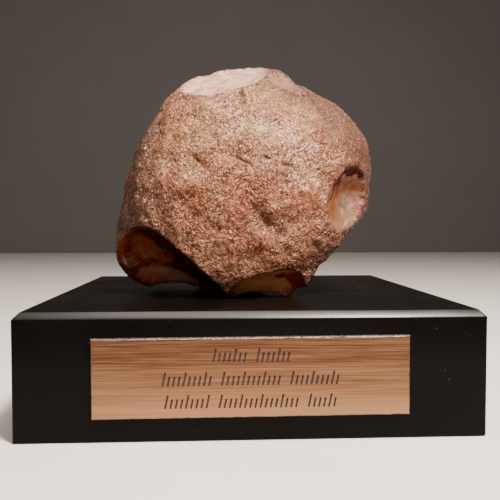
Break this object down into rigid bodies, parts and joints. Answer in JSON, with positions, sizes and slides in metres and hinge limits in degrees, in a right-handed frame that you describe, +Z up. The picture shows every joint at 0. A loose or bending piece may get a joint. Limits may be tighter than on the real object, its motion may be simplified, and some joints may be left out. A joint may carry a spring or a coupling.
{
  "type": "stone hand axe",
  "caption": "Fist-sized flaked cobble hand axe with a pitted skin and hollow flake scars, resting on its square bevelled plinth with a metal nameplate.",
  "frame": {"origin": "centre of the plinth's underside, with the plate's thickness counted in the depth", "axes": "+Z up, -Y out of the front that carries the nameplate, +X to the right seen from the front"},
  "size_m": [0.15, 0.1516, 0.1313],
  "materials": {
    "stone": "pitted brown cobble skin, satin sheen, smoother in the flake scars",
    "plinth": "black satin lacquer",
    "nameplate": "brushed along its length, with a rough sawn edge"
  },
  "bodies": {
    "root": {"hand_axe": "stone", "plinth": "plinth", "nameplate": "nameplate"}
  },
  "joints": []
}
